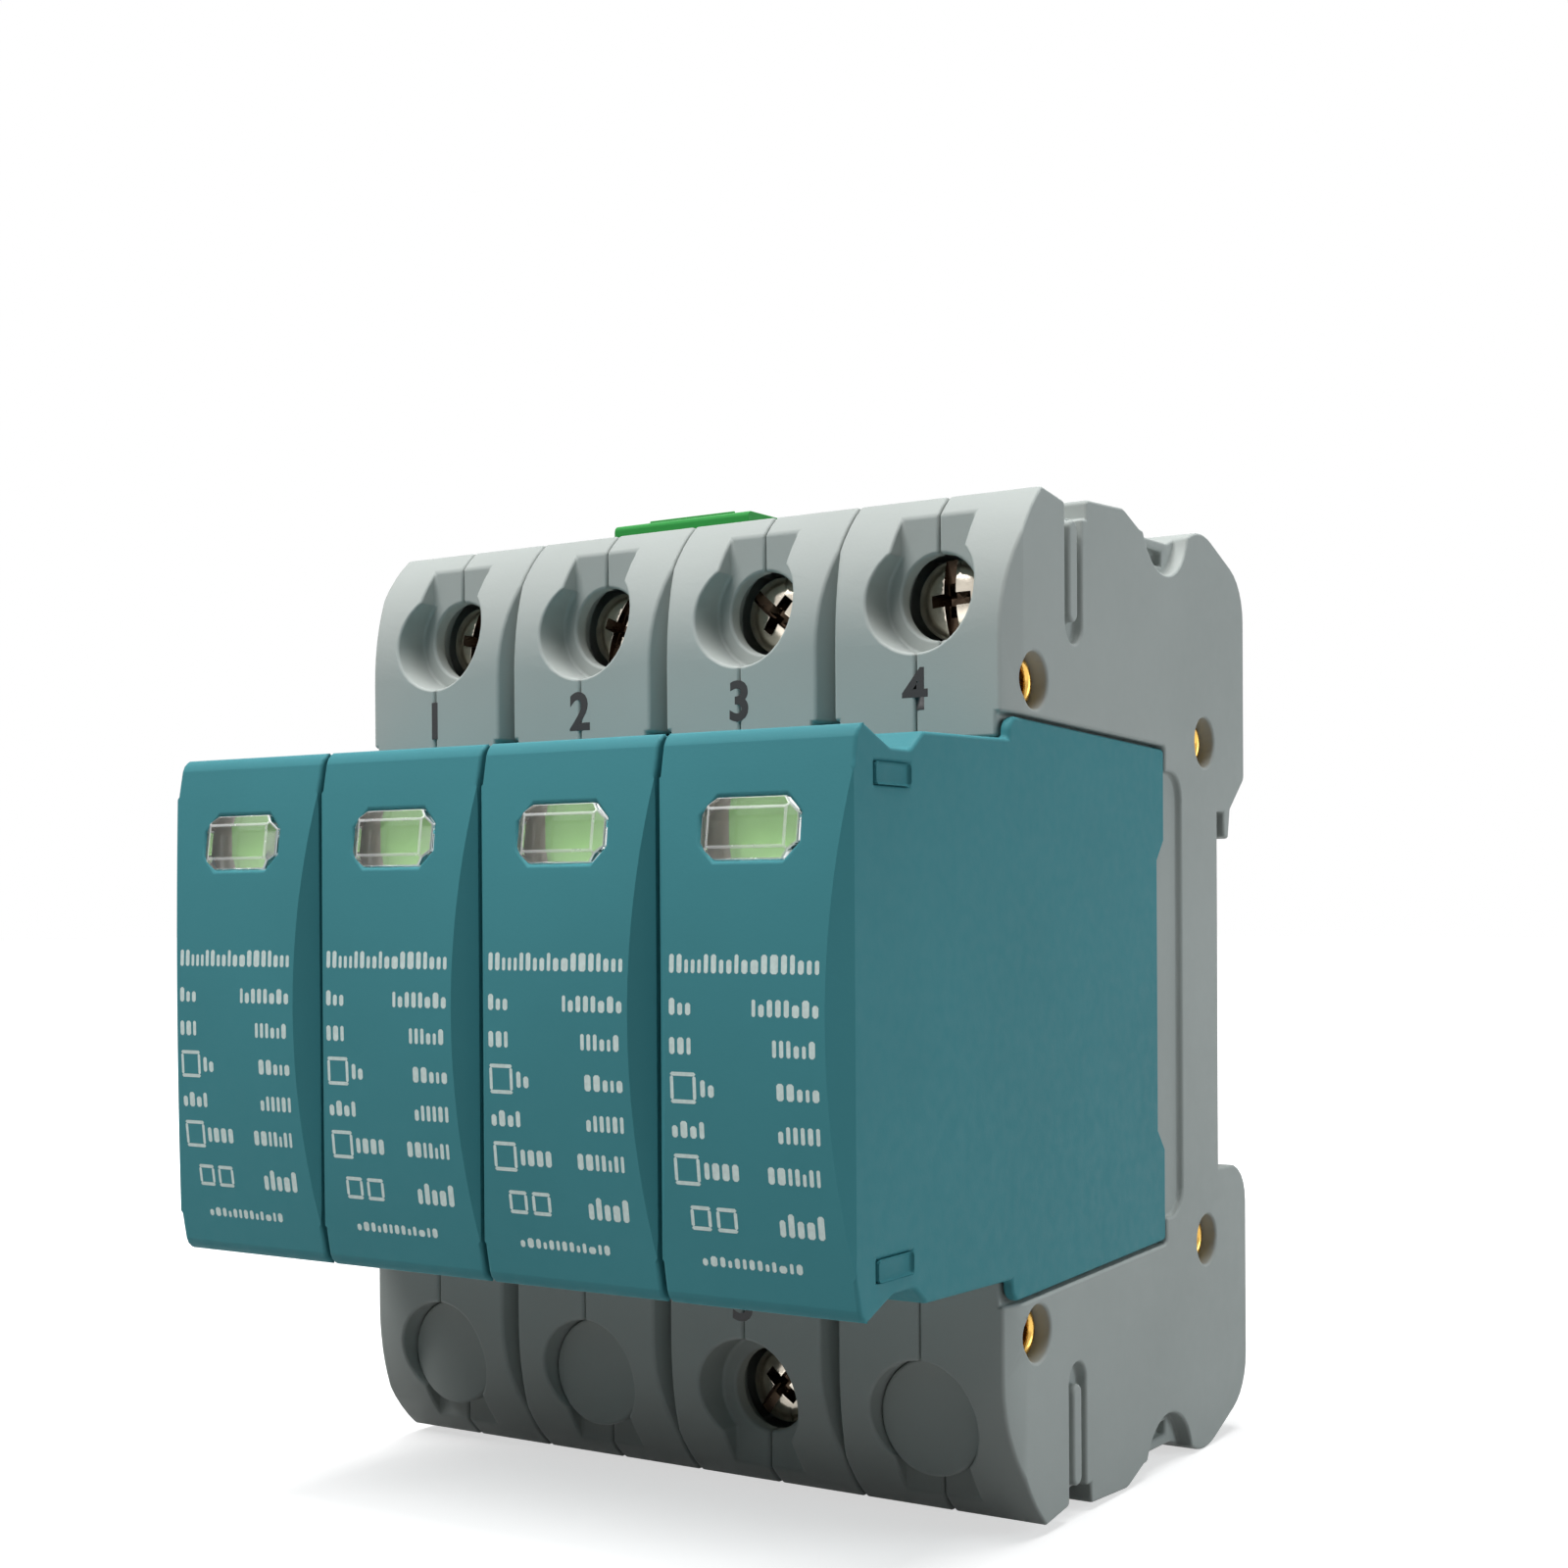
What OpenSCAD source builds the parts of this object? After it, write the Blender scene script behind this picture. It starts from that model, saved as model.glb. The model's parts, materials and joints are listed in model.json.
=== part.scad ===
// Four pole plug-in surge arrester for a 35 mm mounting rail.
// Frame: X along the rail, Y = 0 on the rail seat with the front at -Y, Z up, all in millimetres.

/* [Base] */
// width of one pole
pole_w = 18; // [17.8:0.1:20]
// height of the base over its rear bumps
base_h = 90; // [90:0.5:98]
// base front face, measured from the rail seat
base_front = 45.3; // [44.8:0.1:50]
// radius of the front corners in side view
corner_r = 17.3; // [16.5:0.1:18]
// width of the bevel on the front edges of a pole
edge_bevel = 1; // [0.6:0.1:1.4]
// depth of that bevel
edge_bevel_d = 2.6; // [1.5:0.1:3]
// depth of the grooves in the side walls
groove_d = 1; // [0.6:0.1:1.4]
// depth of the open recesses at the rear ends of the side walls
pocket_d = 1.5; // [1:0.1:2]
// bore of the tubular rivets
rivet_bore_r = 1.25; // [0.9:0.05:1.3]

/* [Rail] */
// height of the rail slot
slot_h = 35.6; // [35.4:0.1:36]
// depth of the jaws behind the rail seat
jaw_depth = 7.3; // [7.2:0.1:8.5]
// height of the fixed hook
hook_h = 2.7; // [2.2:0.1:3]
// width of the sliding latch
latch_w = 12; // [10:0.5:13]

/* [Terminals] */
// screw axis, measured from the edge of the bay
term_rise = 10.6; // [10:0.1:11]
// radius of the round screw recess
recess_r = 5.2; // [5:0.05:5.3]
// depth of that recess
recess_d = 4.3; // [4:0.1:4.6]
// screw head radius
head_r = 3.6; // [3:0.1:3.7]
// screw shank radius
shank_r = 2.5; // [2:0.1:2.6]
// width of the clamp cage
cage_w = 10.4; // [10:0.1:10.6]
// width of the contact bars
bar_w = 6.6; // [5.6:0.1:6.8]

/* [Module] */
// height of the bay at its mouth
bay_h = 49.4; // [49:0.1:49.8]
// bay floor, measured from the rail seat
bay_floor = 13; // [13:0.1:14]
// module width
module_w = 17.6; // [17:0.1:17.7]
// width of the ridge under the edge of the bay, which runs between the flanges of a module
ridge_w = 15.2; // [14:0.1:15.4]
// height of that ridge
ridge_h = 2.05; // [1.6:0.05:2.2]
// step from the edge of the bay to the lip of the nose
nose_step = 2.55; // [2.3:0.05:3]
// how far the nose stands out of the base
nose_reach = 26.5; // [26:0.5:32]
// radius of the bulged front
front_r = 107; // [95:1:130]
// case wall
case_wall = 1.5; // [1.2:0.1:1.7]
// window width
window_w = 8.8; // [7:0.1:9.5]
// window height
window_h = 4.8; // [4:0.1:5.6]
// window centre, measured from the lip of the nose
window_drop = 7.55; // [7.4:0.05:10]
// thickness of the varistor block
varistor_t = 10; // [7:0.5:11]
// thickness of the plug-in blades
blade_t = 1.5; // [1:0.1:1.6]

/* [Signal] */
// width of the signal plug
plug_w = 16.4; // [15.4:0.1:16.6]
// height of the plug's top over the floor of its pocket
plug_rise = 6.1; // [5.6:0.1:8]

/* [Hidden] */
$fn = 64;
eps = 1;
arc_steps = 6;
slit = 0.05;
fit = 0.1;
loose = 0.2;
half = pole_w / 2;
y_front = -base_front;
z_end = base_h / 2;
slot_z = slot_h / 2;
bay_z = bay_h / 2;
term_z = bay_z + term_rise;

// outline of a pole
arc_steps_front = 10;
arc_drop = 14;
arc_z = z_end - arc_drop;
arc_end = 130;
front_end_z = z_end - 1.4;
notch_z = z_end - 2.4;
groove_y = [-34.6, -31.2];
rear_y = -30.2;
rear_z = z_end - 0.6;
rear_end = [-22.3, z_end - 0.2];
valley = [[-18.6, z_end - 1.6], [-9, z_end - 1.5]];
bump = [-3.9, z_end + 0.55];
bump_r = 7;
heel = [jaw_depth, z_end - 3.8];
heel_r = 5.5;
jaw_lip = 3.5;
hook_y = [1.8, 2.9, 3.5];
hook_round = 0.3;
jaw_round = 4;
soft = 1;
softer = 2;

// side features
groove_z = z_end - 13.6;
groove_mid = (groove_y[0] + groove_y[1]) / 2;
groove_r = (groove_y[1] - groove_y[0]) / 2;
rib_r = 0.8;
rib_z = groove_z + 1.9;
pocket_at = [-12.7, z_end + 0.5];
pocket_r = 5.6;
keyway_y = [-13.6, -10.3];
keyway_z = [z_end - 3.9, z_end - 2.5];
keyway_d = 1;
bay_rim_y = -9.2;
bay_rim_d = 0.7;
bay_rim_in = 2.4;
bay_rim_r = 2.5;

// bay
bay_taper = 1.1;
bay_back_z = bay_z - bay_taper;
ridge_x = ridge_w / 2;
pad_inset = 12;
pad_z = bay_z - pad_inset;
pad_run = 1.9;
pad_rise = 1.6;
y_floor = -bay_floor;

// rivets
rivet_wall = 0.5;
rivet_r = rivet_bore_r + rivet_wall;
rivet_hole_r = rivet_r + fit;
counterbore_r = rivet_r + rivet_wall + loose;
counterbore_d = 2.3;
rivet_front = 4.7;
rivet_rise = 2.9;
rivet_rear = [-3.2, bay_z - 0.2];
rivet_at = [[y_front + rivet_front, bay_z + rivet_rise], rivet_rear];

// terminals
channel_w = 7.2;
y_recess = y_front + recess_d;
hole_d = 3.5;
y_chamber = [y_recess + hole_d, y_floor - loose];
cage_gap = 0.4;
chamber_x = cage_w / 2 + cage_gap;
chamber_below = 5.4;
chamber_above = 4.9;
chamber_z = [term_z - chamber_below, term_z + chamber_above];
head_gap = 0.15;
screw_hole_r = head_r + head_gap;
head_t = 2.7;
head_edge = 0.5;
head_sink = 1.9;
y_head = y_recess + head_sink;
head_back = y_head + head_t;
cross_w = 1.3;
cross_l = 5;
cross_d = 1.7;
bar_t = 2;
bar_set = 21.3;
bar_y = [y_front + bar_set, y_front + bar_set + bar_t];
y_tip = bar_y[0] - fit;
cage_front_t = 2.4;
cage_side_t = 1.6;
cage_back_t = 2;
cage_lead = 6;
cage_rear_gap = 0.6;
cage_y = [bar_y[0] - cage_lead, y_chamber[1] - cage_rear_gap];
cage_h = 8.4;
cage_z = [term_z - cage_h / 2, term_z + cage_h / 2];
cage_hole_r = shank_r + slit;
bar_inset = 0.5;
entry_x = 4;
entry_gap = 0.5;
entry_lap = 0.3;
entry_y = [bar_y[1] + entry_gap, cage_y[1] - cage_back_t + entry_lap];

// contacts
plate_t = 1.6;
plate_rise = 1.3;
plate_z = [bay_z + plate_rise, bay_z + plate_rise + plate_t];
leg_t = 1.5;
leg_set = 2.8;
leg_y = [y_floor + leg_set, y_floor + leg_set + leg_t];
blade_inset = 6.4;
blade_z = bay_z - blade_inset;
blade_reach = 9;
blade_y = y_floor + blade_reach;
leaf_t = 0.8;
leaf_gap = blade_t / 2 + fit;
fork_back = [-2.9, -2.1];
fork_set = 1.2;
fork_front = y_floor + fork_set;
fork_z = leaf_gap + leaf_t + loose;
fork_rear = -1.9;
fork_wall = 0.8;
fork_y = [y_floor + fork_wall, fork_rear];
fork_x = 4.3;
blade_room = 0.25;
slot_gap = blade_t / 2 + blade_room;
bar_slot_x = bar_w / 2 + loose;
link_w = 4.8;
link_y = [leg_y[1] - link_w, leg_y[1]];

// blanking discs
disc_r = recess_r - fit;
disc_t = 2;
stem_r = screw_hole_r - fit;
stem_l = 2.2;

// latch
latch_y = [1.5, 5.9];
latch_nose_t = 2.5;
latch_nose_h = 2.3;
latch_inset = 4.5;
latch_end = z_end - latch_inset;
latch_travel = 2.6;
peg_x = 1.8;
peg_z = [-34, -31];
peg_gap = 0.3;
latch_eye_x = peg_x + peg_gap;

// signal parts
signal_pole = 1;
signal_depth = 7.3;
signal_wall = 0.4;
signal_y = [entry_y[0] - signal_wall - signal_depth, entry_y[0] - signal_wall];
signal_sink = 3.7;
signal_z = z_end - signal_sink;
plug_lip = 0.7;
header_x = plug_w / 2 - plug_lip;
header_t = 1;
pin_r = 0.5;
pin_pitch = 5;
pin_h = 3.6;
plug_neck_x = header_x - fit;
flange_t = 2.4;
step_inset = 3;
step_x = plug_w / 2 - step_inset;
step_t = 0.5;
step_set = 2;
plug_foot = header_t + fit;
plug_z = signal_z + plug_rise;
wire_w = 2.6;
wire_d = 2.4;
plug_screw_r = 1.1;
plug_screw_l = 2;
bar_pin_r = 1.2;
bar_half_z = 2.5;
sense_wall = 0.8;
sense_t = 3;
sense_y = [y_floor + sense_wall, y_floor + sense_wall + sense_t];
sense_travel = 2.5;
sense_end = 4;
sense_room = [sense_y[0] - fit, sense_y[1] + sense_travel + fit];
sense_reach = 4.5;
sense_tip = y_floor - sense_reach;
switch_rear = -1.6;
switch_y = [sense_room[1] + slit, switch_rear];
switch_x = 6;
switch_z = 3.2;
button_r = 0.8;
button_l = 0.9;

// module
module_x = module_w / 2;
y_tip_front = y_front - nose_reach;
front_c = y_tip_front + front_r;
lip_z = bay_z - nose_step;
nose_root_z = bay_z - ridge_h - loose;
nose_back_z = nose_root_z - bay_taper;
shoulder_gap = 0.3;
shoulder_z = bay_z - shoulder_gap;
shoulder_back_z = bay_back_z - shoulder_gap;
shoulder_r = 1.3;
shoulder_set = 0.25;
flange_x = ridge_x + loose;
grip = [[3.4, lip_z + 0.05, 1.2], [7.2, lip_z - 1.5, 1.6], [10.2, lip_z - 1.5, 1.6], [12.2, lip_z, 1]];
front_bevel = 1.6;
front_bevel_d = 1.7;
snap_y = [4.7, 10];
snap_drop = [4.4, 2.7];
snap_z = [lip_z - snap_drop[0], lip_z - snap_drop[1]];
snap_d = 0.2;
lip_t = 3;
cave_z = lip_z - lip_t;
cave_root_z = nose_root_z - case_wall;
cave_back_z = nose_back_z - case_wall;
cave_x = module_x - case_wall;
front_wall = 2;
window_cut = 1.3;
lens_proud = 0.5;
lens_bevel = 0.9;
lens_lip = 0.7;
lens_lip_t = 0.8;
window_z = lip_z - window_drop;
window_tilt = asin(window_z / front_r);
back_plate_set = 3.2;
back_plate_t = 1.5;
back_plate_y = [y_floor - back_plate_set, y_floor - back_plate_set + back_plate_t];
flag_set = 4.8;
flag_t = 0.7;
flag_y = [y_tip_front + flag_set, y_tip_front + flag_set + flag_t];
flag_x = [-3.5, 4.6];
flag_over = [3.6, 3.7];
flag_z = [window_z - flag_over[0], window_z + flag_over[1]];
carrier_gap = 0.3;
carrier_wall = 1;
carrier_y = [flag_y[1] + carrier_gap, flag_y[1] + carrier_gap + carrier_wall];
carrier_over = [12, 3.9];
carrier_z = [window_z - carrier_over[0], window_z + carrier_over[1]];
carrier_t = 1.7;
carrier_x = cave_x - loose;
varistor_s = 34;
varistor_set = 9;
varistor_y = [y_floor - varistor_set - varistor_s, y_floor - varistor_set];
varistor_r = 3;
carrier_inset = 2;
carrier_side_z = cave_z - carrier_inset;
blade_x = 4;
strap_x = 2.4;
strap_z = 8;
strap_t = 1.5;

grey = [0.58, 0.61, 0.59];
teal = [0.2, 0.43, 0.46];
nickel = [0.8, 0.79, 0.75];
copper = [0.76, 0.5, 0.32];
brass_tone = [0.78, 0.6, 0.3];
plug_green = [0.18, 0.55, 0.25];
flag_green = [0.45, 0.72, 0.32];
signal_red = [0.7, 0.16, 0.12];
varistor_blue = [0.16, 0.3, 0.6];
lens_tone = [0.85, 0.92, 0.92, 0.4];
dark = [0.12, 0.12, 0.13];

function pole_x(i) = (i - 1.5) * pole_w;
function unit(v) = v / norm(v);
function flat(p) = [p[0], p[1]];
function turn(a, b) = atan2(cross(a, b), a * b);
function ring(c, s, d) = [for (k = [0:arc_steps]) let (a = atan2(s[1], s[0]) + d * k / arc_steps)
    c + norm(s) * [cos(a), sin(a)]];
function blend(q, a, b, r) = let (h = acos(a * b) / 2, c = q + unit(a + b) * r / sin(h), t = r / tan(h))
    ring(c, q + a * t - c, turn(q + a * t - c, q + b * t - c));
function corner(p, q, s) = q[2] == 0 ? [flat(q)]
    : blend(flat(q), unit(flat(p) - flat(q)), unit(flat(s) - flat(q)), q[2]);
function rounded(p) = let (n = len(p))
    [for (i = [0:n - 1]) each corner(p[(i + n - 1) % n], p[i], p[(i + 1) % n])];
function flip(p) = [for (i = [len(p) - 1:-1:0]) [p[i][0], -p[i][1], p[i][2]]];
function at(p, r) = [p[0], p[1], r];
function arc(c, r, a, b) = [for (k = [0:arc_steps_front]) let (t = a + (b - a) * k / arc_steps_front)
    [c[0] + r * cos(t), c[1] + r * sin(t), 0]];
function rear_end_pts() = [[rear_y, rear_z, soft / 2], at(rear_end, softer), at(valley[0], softer),
    at(valley[1], softer), at(bump, bump_r), at(heel, heel_r)];
function front_end_pts() = concat(arc([y_front + corner_r, arc_z], corner_r, 180, arc_end),
    [[groove_y[0], front_end_z, soft / 2], [groove_y[0], notch_z, 0], [rear_y, notch_z, 0]]);
function half_pts() = concat(front_end_pts(), rear_end_pts());
function jaw_pts() = [[jaw_depth, slot_z + jaw_lip, soft], [hook_y[2], slot_z + hook_round, 0],
    [hook_y[1], slot_z - hook_h, hook_round], [hook_y[0], slot_z - hook_h + hook_round, hook_round],
    [hook_y[0], slot_z, 0], [0, slot_z, 0], [0, -slot_z, 0], [jaw_depth, -slot_z, jaw_round]];
function pole_pts() = rounded(concat(half_pts(), jaw_pts(), flip(half_pts())));
function bay_half(d) = [[y_front - eps, bay_z - d, 0], [y_front, bay_z - d, 0],
    [y_floor, bay_back_z - d, soft / 2], [y_floor, pad_z + pad_run, 0], [y_floor - pad_rise, pad_z, 0]];
function bay_pts(d) = rounded(concat(bay_half(d), flip(bay_half(d))));
function rim_half() = [[y_floor - softer, bay_back_z - bay_rim_in, 0],
    [bay_rim_y, bay_back_z - bay_rim_in, bay_rim_r]];

module yz(x) translate([x[0], 0, 0]) rotate([90, 0, 90]) linear_extrude(x[1] - x[0]) children();
module xz(y) translate([0, y[1], 0]) rotate([90, 0, 0]) linear_extrude(y[1] - y[0]) children();
module box(x, y, z) translate([x[0], y[0], z[0]]) cube([x[1] - x[0], y[1] - y[0], z[1] - z[0]]);
module ends() {
    children();
    mirror([0, 0, 1]) children();
}
module sides() {
    children();
    mirror([1, 0, 0]) children();
}
module x_rod(r, x) translate([x[0], 0, 0]) rotate([0, 90, 0]) cylinder(r = r, h = x[1] - x[0]);
module y_rod(r, y) translate([0, y[1], 0]) rotate([90, 0, 0]) cylinder(r = r, h = y[1] - y[0]);
module in_pole(i) translate([pole_x(i), 0, 0]) children();

// a groove with a rib along its middle, open at the end of the base
module groove() {
    difference() {
        union() {
            translate([groove_mid, groove_z + groove_r]) circle(groove_r);
            translate([groove_y[0], groove_z + groove_r]) square([2 * groove_r, z_end]);
        }
        translate([groove_mid, rib_z + rib_r]) circle(rib_r);
        translate([groove_mid - rib_r, rib_z + rib_r]) square([2 * rib_r, notch_z - rib_z - softer]);
        translate([groove_mid, notch_z - softer + rib_r]) circle(rib_r);
    }
}

// what is taken out of the outer side of a half shell
module side_cuts(outer) {
    ends() yz([half - groove_d, half + eps]) groove();
    ends() yz([half - pocket_d, half + eps]) translate(pocket_at) circle(pocket_r);
    ends() box([half - pocket_d - keyway_d, half], keyway_y, keyway_z);
    yz([half - bay_rim_d, half + eps]) polygon(rounded(concat(rim_half(), flip(rim_half()))));
    translate([0, 0, -base_h]) linear_extrude(2 * base_h) polygon([[half - edge_bevel, y_front],
        [half - edge_bevel, y_front - eps], [half + eps, y_front - eps],
        [half + eps, y_front + edge_bevel_d], [half - slit, y_front + edge_bevel_d]]);
    for (p = rivet_at) ends() translate([0, p[0], p[1]]) {
        x_rod(rivet_hole_r, [-eps, half + eps]);
        if (outer) x_rod(counterbore_r, [half - slit - counterbore_d, half + eps]);
    }
}

// screw recess with its channel to the end of the base, and the hole for the screw
module recess() {
    xz([y_front - eps, y_recess]) {
        translate([0, term_z]) circle(recess_r);
        translate([-channel_w / 2, term_z]) square([channel_w, base_h]);
    }
    translate([0, 0, term_z]) y_rod(screw_hole_r, [y_recess - eps, y_chamber[0] + eps]);
}

// chamber of the clamp cage
module chamber() box([-eps, chamber_x], y_chamber, chamber_z);

// wire entry from the end of the base into the cage
module wire_entry() box([-entry_x, entry_x], entry_y, [chamber_z[1] - eps, base_h]);

// narrow spaces that hold the contact bar, and the slot for the blade
module contact_room() {
    box([-eps, bar_slot_x], [bar_y[0] - loose, bar_y[1] + loose], [plate_z[0] - loose, chamber_z[0] + eps]);
    box([-eps, bar_slot_x], [bar_y[0] - loose, leg_y[1] + loose], [plate_z[0] - loose, plate_z[1] + loose]);
    box([-eps, bar_slot_x], [leg_y[0] - loose, leg_y[1] + loose], [blade_z, plate_z[1] + loose]);
    box([-eps, fork_x], fork_y, [blade_z - fork_z, blade_z + fork_z]);
    box([-eps, fork_x], [y_floor - eps, fork_y[1]], [blade_z - slot_gap, blade_z + slot_gap]);
}

// space for the busbar between the poles
module link_room(outer) mirror([0, 0, 1])
    box([-eps, outer ? bar_slot_x : half + eps], [link_y[0] - loose, link_y[1] + loose],
        [plate_z[0] - loose, plate_z[1] + loose]);

// space for the signal bar and the hole for its pin
module sense_space(outer) {
    box([-eps, outer ? sense_end + loose : half + eps], sense_room, [-bar_half_z - loose, bar_half_z + loose]);
    y_rod(bar_pin_r + fit, [y_floor - softer, sense_room[0] + eps]);
}

module latch_room() difference() {
    box([half - latch_w / 2 - loose, half + eps], [latch_y[0] - loose, latch_y[1] + loose],
        [-base_h, -slot_z + eps]);
    box([half - peg_x, half + softer], [0, jaw_depth], peg_z);
}

module signal_room() {
    box([-eps, header_x + fit], signal_y, [signal_z, base_h]);
    box([-eps, switch_x + fit], [sense_room[1] - eps, switch_y[1] + slit], [-switch_z - fit, switch_z + fit]);
}

// one half of a pole, split in the middle of the pole: side is 1 for the right half and -1 for the left
module half_shell(i, side) {
    outer = (i == 0 && side < 0) || (i == 3 && side > 0);
    beside_latch = (i == 1 && side > 0) || (i == 2 && side < 0);
    color(grey) in_pole(i) mirror([side < 0 ? 1 : 0, 0, 0]) difference() {
        yz([slit, half - slit]) polygon(pole_pts());
        yz([-eps, half + eps]) polygon(bay_pts(ridge_h));
        yz([ridge_x, half + eps]) polygon(bay_pts(0));
        side_cuts(outer);
        ends() {
            recess();
            chamber();
            contact_room();
        }
        wire_entry();
        if (i == 2) mirror([0, 0, 1]) wire_entry();
        link_room(outer);
        sense_space(outer);
        if (i == signal_pole) signal_room();
        if (beside_latch) latch_room();
    }
}

// the four tubular rivets that hold the poles together, their ends rolled outwards
module tubular_rivets() {
    span = 4 * pole_w - 2 * counterbore_d - 2 * slit;
    color(brass_tone) for (p = rivet_at) ends() translate([-span / 2, p[0], p[1]]) rotate([0, 90, 0])
        rotate_extrude() {
            translate([rivet_bore_r, -rivet_wall]) square([rivet_wall, span + 2 * rivet_wall]);
            for (z = [-rivet_wall, span + rivet_wall]) translate([rivet_r, z]) circle(rivet_wall);
        }
}

// terminal screw with a cross recess, its head to the front
module screw(i) color(nickel) in_pole(i) translate([0, y_tip, term_z]) rotate([90, 0, 0]) difference() {
    reach = y_tip - head_back;
    rotate_extrude() polygon([[0, 0], [shank_r - head_edge, 0], [shank_r, head_edge], [shank_r, reach],
        [head_r, reach], [head_r, reach + head_t - head_edge],
        [head_r - head_edge, reach + head_t - head_edge / 4], [0, reach + head_t]]);
    for (a = [0, 90]) rotate([0, 0, a + 45]) translate([-cross_w / 2, -cross_l / 2, reach + head_t - cross_d])
        cube([cross_w, cross_l, head_t]);
}
module line_screw(i) screw(i);
module pe_screw() mirror([0, 0, 1]) screw(2);

// clamp cage that the screw draws towards its head, so that its rear wall presses the wire on the bar
module cage(i) color(nickel) in_pole(i) difference() {
    box([-cage_w / 2, cage_w / 2], cage_y, cage_z);
    box([cage_side_t - cage_w / 2, cage_w / 2 - cage_side_t],
        [cage_y[0] + cage_front_t, cage_y[1] - cage_back_t], [cage_z[0] - eps, cage_z[1] + eps]);
    translate([0, 0, term_z]) y_rod(cage_hole_r, [cage_y[0] - eps, cage_y[0] + cage_front_t + eps]);
}
module line_clamp(i) cage(i);
module pe_clamp() mirror([0, 0, 1]) cage(2);

// the bent bar from the clamp to the leg of the fork
module terminal_bar() {
    box([-bar_w / 2, bar_w / 2], bar_y, [plate_z[0], cage_z[1] - bar_inset]);
    box([-bar_w / 2, bar_w / 2], [bar_y[0], leg_y[1]], plate_z);
}

// the leg and the two leaves that grip the blade of a module
module fork() {
    x = [-bar_w / 2, bar_w / 2];
    y = [fork_front, fork_back[1]];
    reach = leaf_gap + leaf_t;
    box(x, leg_y, [blade_z + leaf_gap, plate_z[1]]);
    box(x, y, [blade_z + leaf_gap, blade_z + reach]);
    box(x, y, [blade_z - reach, blade_z - leaf_gap]);
    box(x, fork_back, [blade_z - reach, blade_z + reach]);
}

module line_contact(i) color(copper) in_pole(i) {
    terminal_bar();
    fork();
}

// earth bar that joins the lower forks of all poles to the earth terminal
module pe_busbar() color(copper) mirror([0, 0, 1]) {
    for (i = [0:3]) in_pole(i) fork();
    in_pole(2) terminal_bar();
    box([pole_x(0) - bar_w / 2, pole_x(3) + bar_w / 2], link_y, plate_z);
}

// discs that close the unused screw holes of the lower row
module blanking_discs() color(grey) for (i = [0, 1, 3]) in_pole(i) translate([0, 0, -term_z]) {
    y_rod(disc_r, [y_recess - disc_t, y_recess]);
    y_rod(stem_r, [y_recess - slit, y_recess + stem_l]);
}

// sliding latch under the rail, with an eye round the fixed peg
module din_latch() color(dark) difference() {
    union() {
        box([-latch_w / 2, latch_w / 2], latch_y, [-latch_end, -slot_z + loose]);
        yz([-latch_w / 2, latch_w / 2]) polygon([[latch_y[0], -slot_z], [latch_y[0], latch_nose_h - slot_z],
            [latch_y[0] + latch_nose_t / 2, latch_nose_h - slot_z], [latch_y[0] + latch_nose_t, -slot_z]]);
    }
    box([-latch_eye_x, latch_eye_x], [0, jaw_depth], [peg_z[0] - loose, peg_z[1] + latch_travel + soft]);
}

// pin header on the floor of the signal pocket
module signal_header() color(dark) in_pole(signal_pole) {
    box([-header_x, header_x], [signal_y[0] + fit, signal_y[1] - fit], [signal_z + slit, signal_z + header_t]);
    for (k = [-1:1]) translate([k * pin_pitch, (signal_y[0] + signal_y[1]) / 2, signal_z + header_t - slit])
        cylinder(r = pin_r, h = pin_h);
}

// plug of the signal contact with its wire entries
module signal_plug() color(plug_green) in_pole(signal_pole) difference() {
    y = [signal_y[0] + loose, signal_y[1] - loose];
    mid = (signal_y[0] + signal_y[1]) / 2;
    union() {
        box([-plug_neck_x, plug_neck_x], y, [signal_z + plug_foot, plug_z - flange_t]);
        box([-plug_w / 2, plug_w / 2], y, [plug_z - flange_t, plug_z]);
        box([-step_x, step_x], [y[0] + step_set, y[1]], [plug_z - slit, plug_z + step_t]);
    }
    for (k = [-1:1]) translate([k * pin_pitch, mid, signal_z]) {
        cylinder(r = pin_r + fit, h = header_t + pin_h + loose);
        translate([0, 0, plug_z - signal_z - softer])
            box([-wire_w / 2, wire_w / 2], [-wire_d / 2, wire_d / 2], [0, base_h]);
    }
    for (k = [-1:1]) translate([k * pin_pitch, 0, plug_z - flange_t / 2])
        y_rod(plug_screw_r + slit, [y[1] - plug_screw_l, y[1] + eps]);
}

// the three wire screws of the plug, in its rear face
module signal_screws() color(nickel) in_pole(signal_pole) for (k = [-1:1])
    translate([k * pin_pitch, signal_y[1] - loose, plug_z - flange_t / 2]) difference() {
        y_rod(plug_screw_r, [-plug_screw_l, -fit]);
        box([-plug_screw_r * 2, plug_screw_r * 2], [-soft / 2, eps], [-loose, loose]);
    }

// bar with a pin for each module, which a tripped module pushes back on the switch
module signal_bar() color(dark) {
    box([pole_x(0) - sense_end, pole_x(3) + sense_end], sense_y, [-bar_half_z, bar_half_z]);
    for (i = [0:3]) in_pole(i) y_rod(bar_pin_r, [sense_tip, sense_y[0] + eps]);
}

module microswitch() color(dark) in_pole(signal_pole) {
    box([-switch_x, switch_x], switch_y, [-switch_z, switch_z]);
    y_rod(button_r, [switch_y[0] - slit, switch_y[0] + button_l]);
}

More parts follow.
